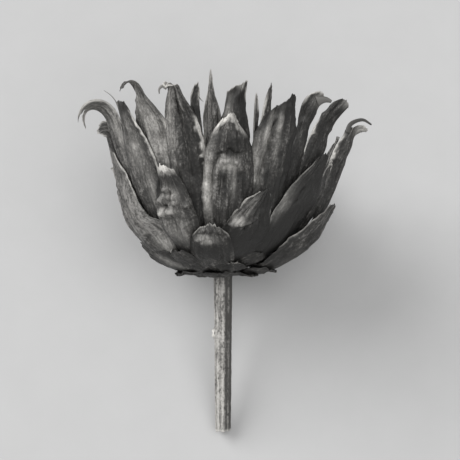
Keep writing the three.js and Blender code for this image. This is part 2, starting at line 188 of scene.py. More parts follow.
# Painted shade: many dark patches below stand for shadows and shade between and under bracts, and the
# low tones of the bracts at the right and at the bottom of the cup for the shade they lie in.
LOOKS = {
    "base_scale_1": {"tone": -0.8, "belly": (0.6, 0.6), "rims": []},
    "base_scale_2": {"tone": -0.8, "rims": []},
    "base_scale_6": {"tone": -0.8, "belly": (0.4, 0.4), "rims": []},
    "low_scale_1": {
        "tone": -1.2, "belly": (0.6, 0.8), "roll": (0, 0),
        "tip": [(-1, 0.95), (0, 1), (1, 0.95)],
        "rims": [(0, 0.95, 1, 0.2, 0.5)],
    },
    "low_scale_2": {"tone": -0.9, "belly": (1, 1), "rims": []},
    "low_scale_6": {
        "tone": -1.1, "belly": (1.2, 0.8),
        "edges": [(0, 4, 5), (0.3, 8, 11), (0.6, 8, 11), (0.85, 5, 7), (1, 1.4, 1.6)],
        "pale": [(0.5, 0.5, 0.3, 5, 1.5)],
        "rims": [],
    },
    "low_scale_7": {
        "tone": -0.8, "belly": (0.5, 0.4),
        "lumps": [(0.5, -0.2, 0.8, 2, 2)],
        "rims": [(-1, 0.4, 1, 0.6, 0.7)],
    },
    "short_bract_1": {
        "tone": -0.3, "belly": (1.2, 1.2), "bumps": (0.7, 0.92, 0.6, 40),
        "edges": [
            (0, 4.5, 4.5), (0.25, 7.5, 7.5), (0.5, 8.6, 8.8), (0.7, 8.2, 8.6), (0.85, 6.4, 6.8),
            (0.95, 4, 4.2), (1, 2.4, 2.4),
        ],
        "folds": [
            (1.1, 0.8, [(0.75, -0.7), (0.81, -0.4), (0.83, -0.1), (0.81, 0.2), (0.76, 0.4)]),
            (0.7, 0.7, [(0.91, -0.5), (0.94, 0), (0.91, 0.5)]),
        ],
        "pale": [(0.8, -0.25, 0.5, 1.6, 3.5)],
        "dark": [(0.6, 0, 2.2, 4, 9)],
        "rims": [(0, 0.8, 1, 0.6, 0.35)],
    },
    "short_bract_2": {"tone": -0.9, "rims": []},
    "short_bract_3": {
        "tone": -0.5, "belly": (2.6, 2.2), "roll": (30, 0),
        "edges": [
            (0, 5, 5), (0.25, 12, 8), (0.5, 14, 9), (0.7, 11.5, 8), (0.85, 7, 6.4), (0.95, 4.4, 4),
            (1, 2.2, 2.2),
        ],
        "rims": [(-1, 0.4, 1, 0.5, 0.5)],
    },
    "outer_bract_1": {
        "tone": -0.8, "belly": (0.7, 0.9), "roll": (20, 0), "bumps": (0.6, 0.86, 0.7, 26),
        "edges": [
            (0, 1.5, 3.3), (0.15, 3, 6.5), (0.3, 6.5, 10), (0.5, 8.4, 11), (0.66, 7.8, 9.8),
            (0.85, 5.4, 6.4), (1, 1.6, 1.2),
        ],
        "lumps": [(0.67, -0.55, 1.2, 2.4, 2.5)],
        "folds": [
            (1, 0.6, [(0.62, -0.7), (0.74, -0.72), (0.9, -0.5)]),
            (1.1, 0.7, [(0.66, -0.35), (0.78, -0.42), (0.9, -0.3)]),
            (0.8, 0.6, [(0.7, -0.1), (0.8, -0.12), (0.9, -0.05)]),
            (-1.3, 0.5, [(0.6, -0.1), (0.66, -0.05), (0.7, 0.15), (0.76, 0.25)]),
            (-0.7, 0.6, [(0.72, -0.55), (0.86, -0.55)]),
            (1.3, 0.7, [(0.61, -0.8), (0.66, -0.4), (0.7, -0.05), (0.75, 0.15)]),
        ],
        "pale": [(0.68, -0.55, 0.5, 1.6, 3), (0.8, -0.45, 0.15, 5, 2.5)],
        "dark": [(0.95, 0.2, 0.8, 5, 5), (0.65, 0.8, 1.8, 14, 4.5), (0.38, -0.4, 2.8, 9, 9)],
        "rims": [(-1, 0.6, 1, 0.5, 0.7), (1, 0.8, 1, 0.5, 0.5)],
    },
    "outer_bract_2": {
        "tone": -1.5, "belly": (-0.3, 0.2), "roll": (0, -10),
        "edges": [
            (0, 4, 4), (0.25, 7.5, 10.5), (0.5, 10.5, 11.5), (0.7, 9.5, 9), (0.85, 6, 5),
            (0.95, 3.8, 3.2), (1, 2.2, 1.8),
        ],
        "folds": [(0.4, 1, [(0.55, -0.6), (0.66, -0.5), (0.82, -0.3)])],
        "pale": [(0.6, -0.85, 0.25, 6, 2)],
        "dark": [(0.75, 0.2, 1.2, 16, 7), (0.34, 0, 1.8, 14, 9)],
        "rims": [(-1, 0.3, 0.9, 0.5, 0.35)],
    },
    "outer_bract_3": {
        "tone": -0.7, "belly": (0.5, 0.4), "twist": 52, "roll": (15, 15),
        "edges": [
            (0, 4, 4), (0.3, 6, 5.5), (0.6, 6, 3.6), (0.8, 4.2, 2.6), (0.86, 2.8, 2.6), (0.92, 3.4, 5),
            (1, 2.8, 5),
        ],
        "tip": [(-1, 0.86), (-0.4, 0.885), (0, 0.93), (0.4, 0.97), (0.8, 0.975), (1, 0.94)],
        "pale": [(0.94, 0.5, 1, 5, 3.5)],
        "rims": [(-1, 0.5, 0.8, 0.8, 0.8)],
        "strands": [
            (0.85, -0.7, 2.7, [(0, 0, 0), (-0.4, 2.6, 0), (1.6, 5, -0.5), (6, 7.2, -1.5),
                (12, 7.2, -3.4)]),
        ],
    },
    "outer_bract_7": {
        "tone": 1, "belly": (2, 0), "roll": (0, 25),
        "edges": [
            (0, 4, 5), (0.15, 6.5, 10), (0.25, 8.5, 14.5), (0.34, 9.3, 18), (0.41, 9.6, 17.5),
            (0.47, 9.8, 12.5), (0.55, 9.8, 11), (0.75, 8, 8), (0.9, 4.4, 4), (1, 1, 1),
        ],
        "lumps": [(0.35, 0.3, 0.8, 8, 2), (0.55, 0.5, 0.6, 7, 1.5)],
        "pale": [(0.4, 1.5, 1, 2.4, 2), (0.24, 0.65, 0.55, 6, 2.4)],
        "dark": [(0.22, 0.2, 2.2, 8, 14)],
        "rims": [(1, 0.6, 1, 0.6, 0.5)],
    },
    "wall_bract_1": {
        "tone": -0.2, "belly": (0.6, 1), "roll": (25, 20),
        "edges": [
            (0, 4, 4), (0.2, 7, 7.5), (0.45, 9.6, 10.2), (0.6, 10, 10), (0.72, 9.8, 9.5),
            (0.82, 8.8, 9), (0.88, 7.6, 7.4), (0.93, 6.2, 5), (0.97, 3.8, 3.2), (1, 1.4, 1.6),
        ],
        "tip": [(-1, 0.95), (-0.5, 0.975), (0, 1), (0.5, 0.99), (1, 0.95)],
        "lumps": [(0.55, -0.1, 0.8, 12, 4), (0.86, 0.1, 0.8, 5, 3)],
        "folds": [
            (1.8, 0.9, [(0.58, -0.42), (0.66, -0.44), (0.72, -0.3), (0.745, 0), (0.73, 0.3),
                (0.69, 0.42)]),
            (-1.4, 0.9, [(0.6, -0.56), (0.68, -0.6), (0.765, -0.36), (0.79, 0), (0.77, 0.3)]),
            (1.2, 0.8, [(0.735, -0.05), (0.67, 0.08), (0.58, 0.06), (0.47, -0.08), (0.36, -0.1)]),
            (-0.6, 0.8, [(0.7, -0.18), (0.64, -0.16), (0.58, -0.2)]),
            (-1, 0.7, [(0.6, -0.62), (0.48, -0.6), (0.36, -0.5)]),
            (0.8, 0.8, [(0.62, 0.4), (0.52, 0.45), (0.42, 0.4)]),
            (0.7, 0.7, [(0.88, -0.2), (0.82, -0.3), (0.76, -0.2)]),
            (0.9, 0.9, [(0.91, -0.72), (0.945, -0.52), (0.975, -0.2), (0.98, 0.1), (0.95, 0.38)]),
        ],
        "pale": [(0.6, -0.8, 0.6, 12, 2.2), (0.71, 0, 0.75, 2.2, 3), (0.61, 0.18, 0.4, 6, 1)],
        "dark": [
            (0.67, -0.56, 1.4, 6, 0.5), (0.775, -0.1, 0.9, 0.8, 4), (0.84, 0.15, 1.5, 5, 6),
            (0.42, 0.4, 1.4, 15, 6), (0.3, -0.2, 0.6, 5, 5),
        ],
        "rims": [(0, 0.885, 1, 3.4, 0.75)],
    },
    "wall_bract_2": {"belly": (-0.3, -0.3)},
    "wall_bract_7": {
        "tone": 0.1, "belly": (1.6, 2.4), "roll": (35, 30),
        "edges": [
            (0, 3.5, 3.5), (0.25, 7, 7), (0.5, 8.6, 9.4), (0.7, 7.6, 8.9), (0.85, 4.8, 6.6),
            (0.94, 2.8, 4.8), (1, 1.6, 3.6),
        ],
        "tip": [(-1, 0.95), (-0.3, 1), (0.3, 0.99), (1, 0.95)],
        "lumps": [
            (0.79, 0, 1.7, 0.9, 0.8), (0.74, -0.1, 1.5, 0.8, 0.8), (0.71, -0.45, 1.9, 1, 1),
            (0.73, 0.3, 1.5, 0.9, 0.9), (0.68, -0.65, 1.5, 0.9, 1), (0.69, 0.3, 1.7, 0.9, 0.9),
            (0.66, 0.7, 1.9, 1, 1.4), (0.61, -0.5, 2.2, 1, 1.7), (0.63, 0, 2.4, 0.9, 1.5),
            (0.655, -0.2, -2.4, 0.8, 1.1), (0.76, -0.35, -1.7, 0.8, 0.8), (0.76, 0.15, -1.7, 0.8, 0.6),
            (0.7, 0.02, -2, 0.8, 0.7), (0.5, -0.35, 1.4, 5, 1.2), (0.48, 0.4, 1.4, 5, 1.2),
            (0.5, 0.05, -1.2, 5, 1),
        ],
        "folds": [
            (0.8, 1.2, [(0.5, 0.45), (0.4, 0.35), (0.28, 0.2)]),
            (0.5, 0.9, [(0.9, -0.1), (0.83, 0), (0.76, -0.1)]),
        ],
        "pale": [
            (0.62, -0.2, 0.5, 1.6, 4), (0.73, -0.1, 0.4, 2.6, 2.4), (0.45, 0, 0.25, 6, 5),
            (0.74, 0.2, 0.3, 3, 3),
        ],
        "dark": [
            (0.8, -0.7, 1.2, 8, 1.5), (0.8, 0.7, 1.2, 8, 1.5), (0.85, 0.1, 1.6, 3, 4),
            (0.655, -0.2, 1.6, 0.9, 1.6), (0.55, 0.3, 0.8, 2, 5), (0.26, 0, 1.6, 8, 9),
        ],
        "rims": [(0, 0.93, 1, 3, 1.2)],
    },
    "tall_bract_1": {
        "tone": -0.85, "roll": (15, 35),
        "edges": [
            (0, 4, 4), (0.2, 7, 7.5), (0.45, 9, 10.5), (0.65, 9, 11), (0.78, 8, 10), (0.86, 6.8, 8.8),
            (0.93, 5.8, 7.4), (1, 4.6, 6.2),
        ],
        "tip": [
            (-1, 0.86), (-0.6, 0.91), (-0.2, 0.94), (0.2, 0.97), (0.5, 1), (0.75, 0.99), (0.85, 0.96),
            (1, 0.93),
        ],
        "folds": [
            (1, 0.8, [(0.88, 0.05), (0.76, -0.1), (0.62, -0.2), (0.48, -0.3)]),
            (0.9, 0.8, [(0.8, -0.5), (0.66, -0.62), (0.5, -0.6)]),
            (-1, 0.7, [(0.84, -0.25), (0.7, -0.4), (0.55, -0.45)]),
            (0.7, 0.9, [(0.94, 0.45), (0.8, 0.4), (0.62, 0.3)]),
        ],
        "pale": [
            (0.78, 0.02, 0.35, 8, 1.3), (0.74, -0.46, 0.65, 9, 1.4), (0.6, -0.75, 0.8, 9, 1.8),
            (0.68, -0.45, 0.35, 14, 1.2),
        ],
        "dark": [(0.94, 0, 1.6, 6, 8), (0.7, 0.8, 1.4, 20, 3), (0.35, 0.2, 1, 12, 8)],
        "rims": [],
    },
    "tall_bract_2": {
        "tone": -1.2, "belly": (-0.7, -0.7), "twist": 38, "roll": (45, 45),
        "edges": [
            (0, 3, 3), (0.3, 5.5, 5.5), (0.6, 5.8, 5.4), (0.8, 3.8, 3.6), (0.92, 3.8, 3.6),
            (1, 3.6, 3.4),
        ],
        "tip": [(-1, 0.92), (-0.6, 0.97), (0, 0.99), (0.6, 0.97), (1, 0.92)],
        "lumps": [(0.93, 0.2, 0.9, 2, 1.6), (0.96, -0.4, -0.7, 1.5, 1.2)],
        "pale": [(0.98, 0.2, 0.5, 2, 3)],
        "rims": [(-1, 0.45, 0.8, 0.6, 0.8)],
    },
    "tall_bract_3": {"belly": (-0.8, -0.8)},
    "tall_bract_6": {
        "tone": -0.2, "twist": 70,
        "edges": [
            (0, 3, 3), (0.4, 4.5, 4.5), (0.7, 3.2, 3.2), (0.85, 3, 3), (0.93, 2.6, 2.6),
            (0.97, 3.6, 3.6), (1, 3.4, 3.4),
        ],
    },
    "tall_bract_7": {
        "tone": 0.05, "roll": (20, 10),
        "edges": [
            (0, 3.5, 3.5), (0.25, 11.5, 7), (0.4, 12.8, 8), (0.55, 11.6, 8.4), (0.68, 10, 8.2),
            (0.8, 7.2, 6.6), (0.9, 3.8, 4.4), (1, 2.2, 2.4),
        ],
        "tip": [(-1, 0.98), (-0.6, 1), (0, 0.99), (0.6, 1), (1, 0.97)],
        "lumps": [(0.6, 0.2, 0.6, 14, 1.4), (0.72, -0.2, 0.5, 10, 1.4)],
        "pale": [(0.74, 0.1, 0.3, 9, 4), (0.5, 0.5, 0.3, 8, 2)],
        "dark": [(0.95, 0, 1.4, 4, 5), (0.4, 0.7, 1.5, 14, 5)],
        "rims": [(-1, 0.65, 0.95, 0.8, 0.9), (1, 0.35, 0.5, 0.8, 1), (1, 0.55, 0.9, 0.6, 0.8)],
        "strands": [(0.97, -0.8, 0.8, [(0, 0, 0), (-0.4, 2, 0), (-2.2, 4.4, 0), (-5.4, 6.6, 0)])],
    },
    "tall_bract_8": {
        "tone": 0.5, "roll": (75, 15),
        "edges": [
            (0, 3.5, 3.5), (0.25, 7, 7.5), (0.5, 7.4, 9), (0.65, 6.6, 9), (0.78, 6, 7.2),
            (0.87, 5.2, 3.8), (0.93, 2.6, 1.9), (1, 2.4, 1.7),
        ],
        "tip": [(-1, 0.95), (-0.6, 0.99), (-0.1, 1), (0.3, 0.98), (1, 0.96)],
        "folds": [
            (0.9, 0.9, [(0.9, -0.1), (0.75, -0.15), (0.6, -0.1), (0.45, 0)]),
            (-0.8, 0.7, [(0.86, 0.15), (0.7, 0.2), (0.5, 0.3)]),
            (0.6, 0.7, [(0.84, 0.5), (0.7, 0.55), (0.55, 0.6)]),
        ],
        "pale": [(0.97, 0.3, 0.7, 2, 2), (0.7, -0.45, 0.3, 12, 2)],
        "dark": [(0.4, 0.2, 2.2, 18, 9), (0.72, 0.6, 1.4, 14, 3)],
        "rims": [(0, 0.96, 1, 2, 1.1), (1, 0.55, 0.74, 1.5, 1.1), (-1, 0.55, 0.95, 0.7, 0.9)],
        "strands": [(0.92, -0.8, 1.6, [(0, 0, 0), (-1.4, 1, 0.4), (-2.6, 0.2, 0.8), (-3, -1.6, 0.6)])],
    },
    "inner_bract_1": {
        "tone": -0.7, "belly": (-0.7, -0.7), "roll": (30, 40),
        "edges": [
            (0, 2.5, 2.5), (0.4, 6, 6), (0.7, 6.6, 6), (0.85, 5.6, 3.6), (0.93, 5.2, 2.4),
            (1, 4.6, 1.9),
        ],
        "tip": [(-1, 0.92), (-0.6, 0.955), (-0.3, 0.965), (0, 0.98), (0.5, 1), (1, 0.99)],
        "lumps": [(0.85, -0.1, 0.6, 7, 1.3), (0.955, 0.2, 0.9, 1.6, 1.2), (0.93, -0.4, -0.8, 1.6, 1.2)],
        "pale": [(0.97, 0, 0.35, 1.5, 3), (0.78, -0.6, 0.45, 8, 1.6)],
        "dark": [(0.8, 0.5, 1.4, 14, 2.5), (0.94, 0.1, 1.6, 5, 5)],
        "rims": [(0, 0.9, 1, 0.5, 0.5)],
    },
    "inner_bract_2": {
        "tone": -1.3, "belly": (-0.8, -0.8), "twist": 30, "roll": (30, 30),
        "edges": [
            (0, 3, 3), (0.3, 5, 5), (0.6, 4.5, 4), (0.78, 3, 2.8), (0.86, 4.2, 3.4), (0.92, 4.4, 3.6),
            (1, 3.2, 3),
        ],
        "tip": [(-1, 0.92), (-0.6, 0.965), (-0.1, 0.98), (0.3, 0.975), (0.7, 0.96), (1, 0.93)],
        "pale": [(0.96, 0.3, 0.7, 3.5, 3)],
        "rims": [(0, 0.9, 1, 0.9, 0.8)],
        "strands": [(0.92, 0.1, 4.6, [(0, 0, 0), (1.2, 1.2, 0), (2.8, 2, 0), (4.8, 2.2, 0)])],
    },
    "inner_bract_6": {
        "tone": 0.5, "belly": (-0.8, -0.8), "twist": -30, "roll": (20, 20),
        "tip": [(-1, 0.93), (-0.3, 1), (0.3, 0.9), (1, 0.96)],
        "pale": [(0.72, 0.4, 0.45, 9, 2), (0.95, 0, 0.5, 7, 6)],
        "rims": [(1, 0.5, 0.9, 0.7, 0.8)],
    },
    "inner_bract_7": {
        "tone": 0.45, "belly": (-0.8, -0.8),
        "edges": [
            (0, 3.5, 3.5), (0.3, 7, 7.5), (0.55, 8, 9), (0.7, 6.6, 8.2), (0.79, 4.4, 5.2),
            (0.86, 2, 2), (0.93, 1, 1.3), (0.97, 0.6, 0.7), (1, 0.8, 0.8),
        ],
        "lumps": [(0.6, 0, 0.6, 16, 1.6), (0.7, 0.4, 0.5, 7, 1.3)],
        "pale": [(0.7, 0.3, 0.45, 12, 4), (0.55, 0.6, 0.45, 9, 2.5), (0.8, -0.3, 0.35, 6, 3)],
        "dark": [(0.84, 0.6, 1.2, 6, 2), (0.4, 0, 1, 10, 9)],
        "rims": [(1, 0.5, 0.7, 1.6, 1.1)],
    },
    "inner_bract_8": {
        "tone": -0.8, "belly": (-0.9, -1),
        "edges": [(0, 1.5, 1.5), (0.5, 2.2, 2.2), (0.85, 1.8, 1.8), (0.96, 1.5, 1.5), (1, 1.2, 1.2)],
        "strands": [(0.93, 0.6, 0.5, [(0, 0, 0), (1.2, -1.4, 0), (2.4, -2.2, 0)])],
    },
    "heart_bract_1": {
        "tone": 0.9, "belly": (-1.4, -1.4), "ribs": 4.6,
        "edges": [
            (0, 2, 2), (0.4, 4.4, 4.4), (0.65, 4.4, 4.4), (0.78, 3.8, 3.6), (0.86, 2.6, 2.4),
            (0.91, 1.2, 1.1), (0.95, 0.5, 0.5), (0.985, 0.7, 0.7), (1, 0.4, 0.4),
        ],
        "pale": [(0.6, -0.9, 1, 9, 1), (0.6, 0.9, 0.5, 9, 0.6)],
    },
    "heart_bract_2": {
        "tone": -0.4, "belly": (-1.3, -1.3),
        "edges": [(0, 1, 1), (0.6, 1, 1), (0.9, 0.9, 0.9), (1, 0.5, 0.5)],
    },
    "heart_bract_3": {
        "tone": 0.1,
        "edges": [(0, 1, 1), (0.5, 1.6, 2.4), (0.8, 1.8, 2), (0.93, 1.3, 1.3), (1, 0.5, 0.5)],
        "rims": [(-1, 0.5, 0.9, 0.8, 0.9)],
    },
}

# ---------- a bract's sheet, mm and degrees

THICK_BASE = 0.8
THICK_TIP = 0.35
THICK_EDGE = 0.18
CELL = 0.45  # spacing of the mesh points
SEED = 20

FLARE_FROM = 0.35  # share of the length where the flare starts
TURN_POWER = 1.4
LEAST_RADIUS = 6.0  # the sheet follows the cup's round down to this radius
ROUND_FROM = 0.92  # share of the length where a plain tip rounds off
ROUND_DEPTH = 0.85
NARROWEST = 0.03  # share of the widest
EDGE_BLUR = 0.02  # share of the length over which the corners of an own outline are rounded
TEAR_DEPTH = 0.5  # of the small tears at the tip
MIDRIB_BEND = 0.16  # radians the sheet turns at its midrib
MIDRIB_SHARE = 0.12  # of the half width
PLEAT_SPACING = 3.2
PLEAT_BEND = 0.2  # radians
STRAND_SIDES = 6
STRAND_TAPER = 0.75
STRAND_FLATNESS = 0.4
STRAND_TONE = 0.4  # how much paler a strand is than its bract
STRAND_PALE = 0.1

USUAL_WIDTH = 18.0  # of a bract with waves of the heights below
BROAD_WAVE = 0.7
SHORT_WAVE = 0.35
FIBRE_HEIGHT = 0.12
FIBRE_KNOT_HEIGHT = 0.08
CREASE_SPACING = 3.5
CRUMPLE_HEIGHT = 0.28
CRUMPLE_SIZE = (4.0, 3.5)  # along and across
FOLD_WANDER = 0.008  # share of the length
ROOT_RELIEF = 0.2  # share of the relief that is left at the root

# ---------- stem and receptacle, mm and degrees

STEM_RINGS = 220
STEM_SIDES = 96
STEM_GAP = 0.45  # its top ends this far below the head's origin
STEM_RIBS = 8
STEM_RIB_HEIGHT = 0.17
STEM_DENT = 0.05
STEM_FACES = ((-44, 0.89), (-122, 0.92), (60, 0.93), (160, 0.93))  # direction, share of the radius
STEM_PITS = 240
STEM_PIT_DEPTH = 0.15
# Painted shade: the stem is coloured darker on its right side, where side light from the left leaves it
# in shade.
STEM_SHADE_EDGE = 0.2  # where the painted shade on its right side begins, from -1 at its left to 1 at its right
STEM_SHADE_EDGE_SHARPNESS = 8.0
STEM_CUT_ROUGHNESS = 0.35
STEM_CUT_LENGTH = 1.2
STEM_CUT_TAPER = 0.07
LEAF_SCAR_HEIGHT = -23.5  # from the head's origin
LEAF_SCAR_ANGLE = 180.0
LEAF_SCAR_SIZE = 1.6
LEAF_SCAR_RIM = 0.6  # how far out its rim is, as a share of the size
LEAF_SCAR_RIM_HEIGHT = 0.95
LEAF_SCAR_DEPTH = 0.3

RECEPTACLE_SIDES = 150
RECEPTACLE_RINGS = (46, 70)  # below and on the top
RECEPTACLE_CLEARANCE = 0.95
RECEPTACLE_SLOPE = 0.4
RECEPTACLE_START = 6.0
RECEPTACLE_END = 29.0
RECEPTACLE_TOP_DISH = 1.5
RECEPTACLE_TOP_RISE = 0.6
SCAR_COUNT = 260  # scars of florets that have dropped out
SCAR_RADIUS = 0.55
SCAR_HEIGHT = 0.32
PITH_SWELL = 0.5
PITH_GRAIN = 0.1

# ---------- materials, camera and light

SKINS = {
    "dry_bract": {
        "colours": ((0.014, 0.0135, 0.0125), (0.038, 0.0365, 0.034), (0.18, 0.174, 0.165)),
        "bleached": (0.55, 0.535, 0.505),
        "bump": 0.001,
    },
    "dry_stem": {
        "colours": ((0.05, 0.048, 0.045), (0.15, 0.145, 0.136), (0.34, 0.33, 0.312)),
        "bleached": (0.55, 0.535, 0.505),
        "bump": 0.0004,
    },
    "dry_pith": {
        "colours": ((0.06, 0.055, 0.047), (0.13, 0.12, 0.1), (0.26, 0.24, 0.2)),
        "bleached": (0.45, 0.41, 0.35),
        "bump": 0.0005,
    },
}
SKIN_STOPS = (0.3, 0.52, 0.8)  # shades at which the skin has its dark, middle and light colour
MARKS = {"tone": 0.13, "ridge": 0.06, "inside": 0.05}  # how much each lightens the shade; ridge is partly painted light and shade, paler on raised relief and darker in its hollows, and partly wear on the ridges
BROAD_FIBRES = (0.70, 0.08, 1.0)  # noise cells in a mm across and along
FINE_FIBRES = (1.6, 0.20, 1.0)
BLOTCHES = (0.24, 0.13, 1.0)
SPECKS = (1.5, 1.0, 1.0)
GLOSSIEST = 0.42
DULLEST = 0.72
SURFACE_SHADES = (0.38, 0.39)
SURFACE_HALF_WIDTH = 12.0

CAMERA_DISTANCE = 0.6
CAMERA_FIELD = 0.177  # width seen at the head's axis
CAMERA_UP = 0.0162  # the point looked at, up the axis from the top of the stem
CAMERA_RIGHT = 0.0027
SENSOR = 36.0
LIGHT_TARGET = (0, 0.02, 0.03)
LIGHTS = {
    "key": {"place": (-5.0, 2.6, 3.8), "size": 6.0, "watts": 590.0},
    "overhead": {"place": (2.0, -2.0, 6.0), "size": 8.0, "watts": 360.0},
}
WORLD_STRENGTH = 0.5

TILT = math.radians(LIE_ANGLE)
AXIS = np.array([0, math.cos(TILT), math.sin(TILT)])
TOP_SIDE = np.array([0, -math.sin(TILT), math.cos(TILT)])


# ---------- small helpers


def ease(low, high, x):
    t = np.clip((x - low) / (high - low), 0, 1)
    return t * t * (3 - 2 * t)


def bell(x):
    """1 at zero, fading to 0 by 2 on both sides."""
    return np.exp(-(x**2))


def curve_through(values, t):
    """A smooth curve through evenly spaced values, read at t from 0 to 1."""
    last = len(values) - 1
    x = np.clip(t, 0, 1) * last
    i = np.minimum(x.astype(int), last - 1)
    f = x - i
    first = 2 * values[0] - values[1]
    end = 2 * values[last] - values[last - 1]
    p = np.array([first, *values, end])
    a, b, c, d = p[i], p[i + 1], p[i + 2], p[i + 3]
    return b + 0.5 * f * (c - a + f * (2 * a - 5 * b + 4 * c - d + f * (3 * (b - c) + d - a)))


def running_total(values, step):
    """The integral of evenly spaced values along the first axis, from zero."""
    middles = (values[1:] + values[:-1]) / 2
    zero = np.zeros_like(values[:1])
    return np.concatenate([zero, np.cumsum(middles * step, axis=0)])


def drift_field(rng, t, v, cells_t, cells_v):
    """Smooth random values from -1 to 1 over a sheet, with so many cells along and across."""
    grid = rng.uniform(-1, 1, (cells_t + 2, cells_v + 2))
    x = np.clip(t, 0, 1) * cells_t
    y = (np.clip(v, -1, 1) + 1) / 2 * cells_v
    i, j = x.astype(int), y.astype(int)
    f, g = x - i, y - j
    f, g = f * f * (3 - 2 * f), g * g * (3 - 2 * g)
    near = grid[i, j] * (1 - g) + grid[i, j + 1] * g
    far = grid[i + 1, j] * (1 - g) + grid[i + 1, j + 1] * g
    return near * (1 - f) + far * f


def angles_round(count):
    return np.linspace(0, math.tau, count, endpoint=False)


def unit(vectors):
    return vectors / np.maximum(np.linalg.norm(vectors, axis=-1, keepdims=True), 1e-9)


def sample(t, values, at):
    """Rows of values known at places t, read at other places."""
    if values.ndim == 1:
        return np.interp(at, t, values)
    return np.stack([np.interp(at, t, values[:, k]) for k in range(values.shape[1])], -1)


# ---------- the cup's wall


def wall_angle(s):
    """Slope of the wall at a length s along it from the axis, in radians."""
    return math.radians(RIM_ANGLE) * (1 - np.exp(-((s / BOWL_TURN) ** 2)))


WALL_STEP = 0.5
WALL_S = np.arange(0, 131, WALL_STEP)
WALL_R = running_total(np.cos(wall_angle(WALL_S)), WALL_STEP)
WALL_H = BOWL_DIP + running_total(np.sin(wall_angle(WALL_S)), WALL_STEP)


def layer_depth(layer, s):
    """How far inside the wall a layer lies at s."""
    depth = np.zeros_like(s)
    for end in LAYER_ENDS[:layer]:
        depth = depth + LAYER_GAP * (1 - ease(end - FADE_BEFORE, end + FADE_AFTER, s))
    return depth


def inside_wall(s, depth):
    """Radius and height of a point at s on the wall, moved inwards by a depth."""
    angle = wall_angle(s)
    r = np.interp(s, WALL_S, WALL_R) - depth * np.sin(angle)
    h = np.interp(s, WALL_S, WALL_H) + depth * np.cos(angle)
    return angle, r, h


def midrib(b, steps=160):
    """The line up a bract's middle, with its frame and the cup's curvature across, at even steps."""
    t = np.linspace(0, 1, steps + 1)
    s = b["start"] + b["length"] * t
    angle, r, h = inside_wall(s, layer_depth(b["layer"], s))
    hooked = ease(b["hook_at"], 1, t)
    lean = angle - math.radians(b["flare"]) * ease(FLARE_FROM, 1, t) - math.radians(b["hook"]) * hooked
    side = math.radians(b["curl"]) * hooked
    ds = b["length"] / steps
    r_out = r + running_total(np.cos(lean) * np.cos(side) - np.cos(angle), ds)
    up = h + running_total(np.sin(lean) * np.cos(side) - np.sin(angle), ds)
    aside = running_total(np.sin(side), ds)
    azimuth = np.radians(b["azimuth"] + b["turn"] * t**TURN_POWER)
    zero = np.zeros_like(t)
    outward = np.stack([np.sin(azimuth), -np.cos(azimuth), zero], -1)
    across = np.stack([np.cos(azimuth), np.sin(azimuth), zero], -1)
    points = outward * r_out[:, None] + across * aside[:, None]
    points[:, 2] = up
    along = unit(np.gradient(points, axis=0))
    across = unit(across - np.sum(across * along, -1, keepdims=True) * along)
    curve = np.clip(np.sin(lean), 0, None) / np.maximum(r, LEAST_RADIUS)
    return t, points, across, np.cross(across, along), curve


# ---------- one bract's outline and bend


def plain_half_width(b, t):
    end = np.clip((t - ROUND_FROM) / (1 - ROUND_FROM), 0, 1)
    share = curve_through(FORMS[b["form"]], t) * np.sqrt(1 - ROUND_DEPTH * end**2)
    return np.maximum(share, NARROWEST) * b["width"] / 2


def half_width(b, look, t, v):
    """The half width on the side of the midrib that a point is on."""
    if b["form"] != "own":
        return plain_half_width(b, t)
    places, *sides = np.array(look["edges"]).T
    blur = (-EDGE_BLUR, 0, EDGE_BLUR)
    left, right = (sum(np.interp(t + d, places, side) for d in blur) / 3 for side in sides)
    return np.where(v < 0, left, right)


def ragged_half_width(b, look, t, v, rng):
    half = half_width(b, look, t, v)
    side = np.sign(v)
    wobble = 0.06 * drift_field(rng, t, side, 9, 1) + 0.04 * drift_field(rng, t, side, 26, 1)
    return half * (1 + wobble * np.abs(v))


def tip_reach(b, look, v, rng):
    """How far along the bract each column of the sheet reaches: its torn end."""
    places, ends = np.array(look["tip"]).T
    reach = np.interp(v, places, ends)
    tear = TEAR_DEPTH / b["length"]
    return reach - tear * rng.uniform(0, 1, v.shape) - tear * drift_field(rng, 0 * v, v, 1, 9)


def cross_bend(b, look, t, v, half, curve, rng):
    """How far the sheet has turned in from its midrib, in radians: cup, midrib, pleats, margins."""
    bend = half * v * curve + v * b["cup"] * ease(0.25, 0.8, t)
    bend = bend + MIDRIB_BEND * np.tanh(v / MIDRIB_SHARE) * (1 - 0.6 * t)
    count = max(2, round(b["width"] / PLEAT_SPACING))
    phase = rng.uniform(0, math.tau)
    pleats = np.sin(math.pi * count * v + phase + 1.5 * drift_field(rng, t, v, 3, 2))
    bend = bend + PLEAT_BEND * look["ribs"] * ease(0.2, 0.9, t) * pleats
    left, right = look["roll"]
    margin = ease(0.6, 1.0, np.abs(v)) * ease(0.15, 0.6, t)
    rolled = np.where(v < 0, -math.radians(left), math.radians(right))
    return bend + rolled * margin * (1 + 0.5 * drift_field(rng, t, v, 6, 1))


def cross_section(bend, v, half):
    """How far across and inward each point lies from the midrib."""
    dv = v[0, 1] - v[0, 0]
    middle = v.shape[1] // 2
    lateral = running_total((np.cos(bend) * half).T, dv).T
    inward = running_total((np.sin(bend) * half).T, dv).T
    return lateral - lateral[:, [middle]], inward - inward[:, [middle]]


def bract_frame(b, look, t):
    """The midrib's points, across and outward directions and cup curvature at each point."""
    fine, points, across, outward, curve = midrib(b)
    centre, side, out = (sample(fine, values, t) for values in (points, across, outward))
    turn = math.radians(look["twist"]) * ease(0.25, 0.9, t)[..., None]
    side, out = side * np.cos(turn) + out * np.sin(turn), out * np.cos(turn) - side * np.sin(turn)
    low, high = look["belly"]
    swell = low * ease(0, 0.2, t) * (1 - ease(0.4, 0.9, t)) + high * ease(0.3, 0.8, t)
    return centre + sample(fine, outward, t) * swell[..., None], side, out, sample(fine, curve, t)


# ---------- one bract's relief and tones


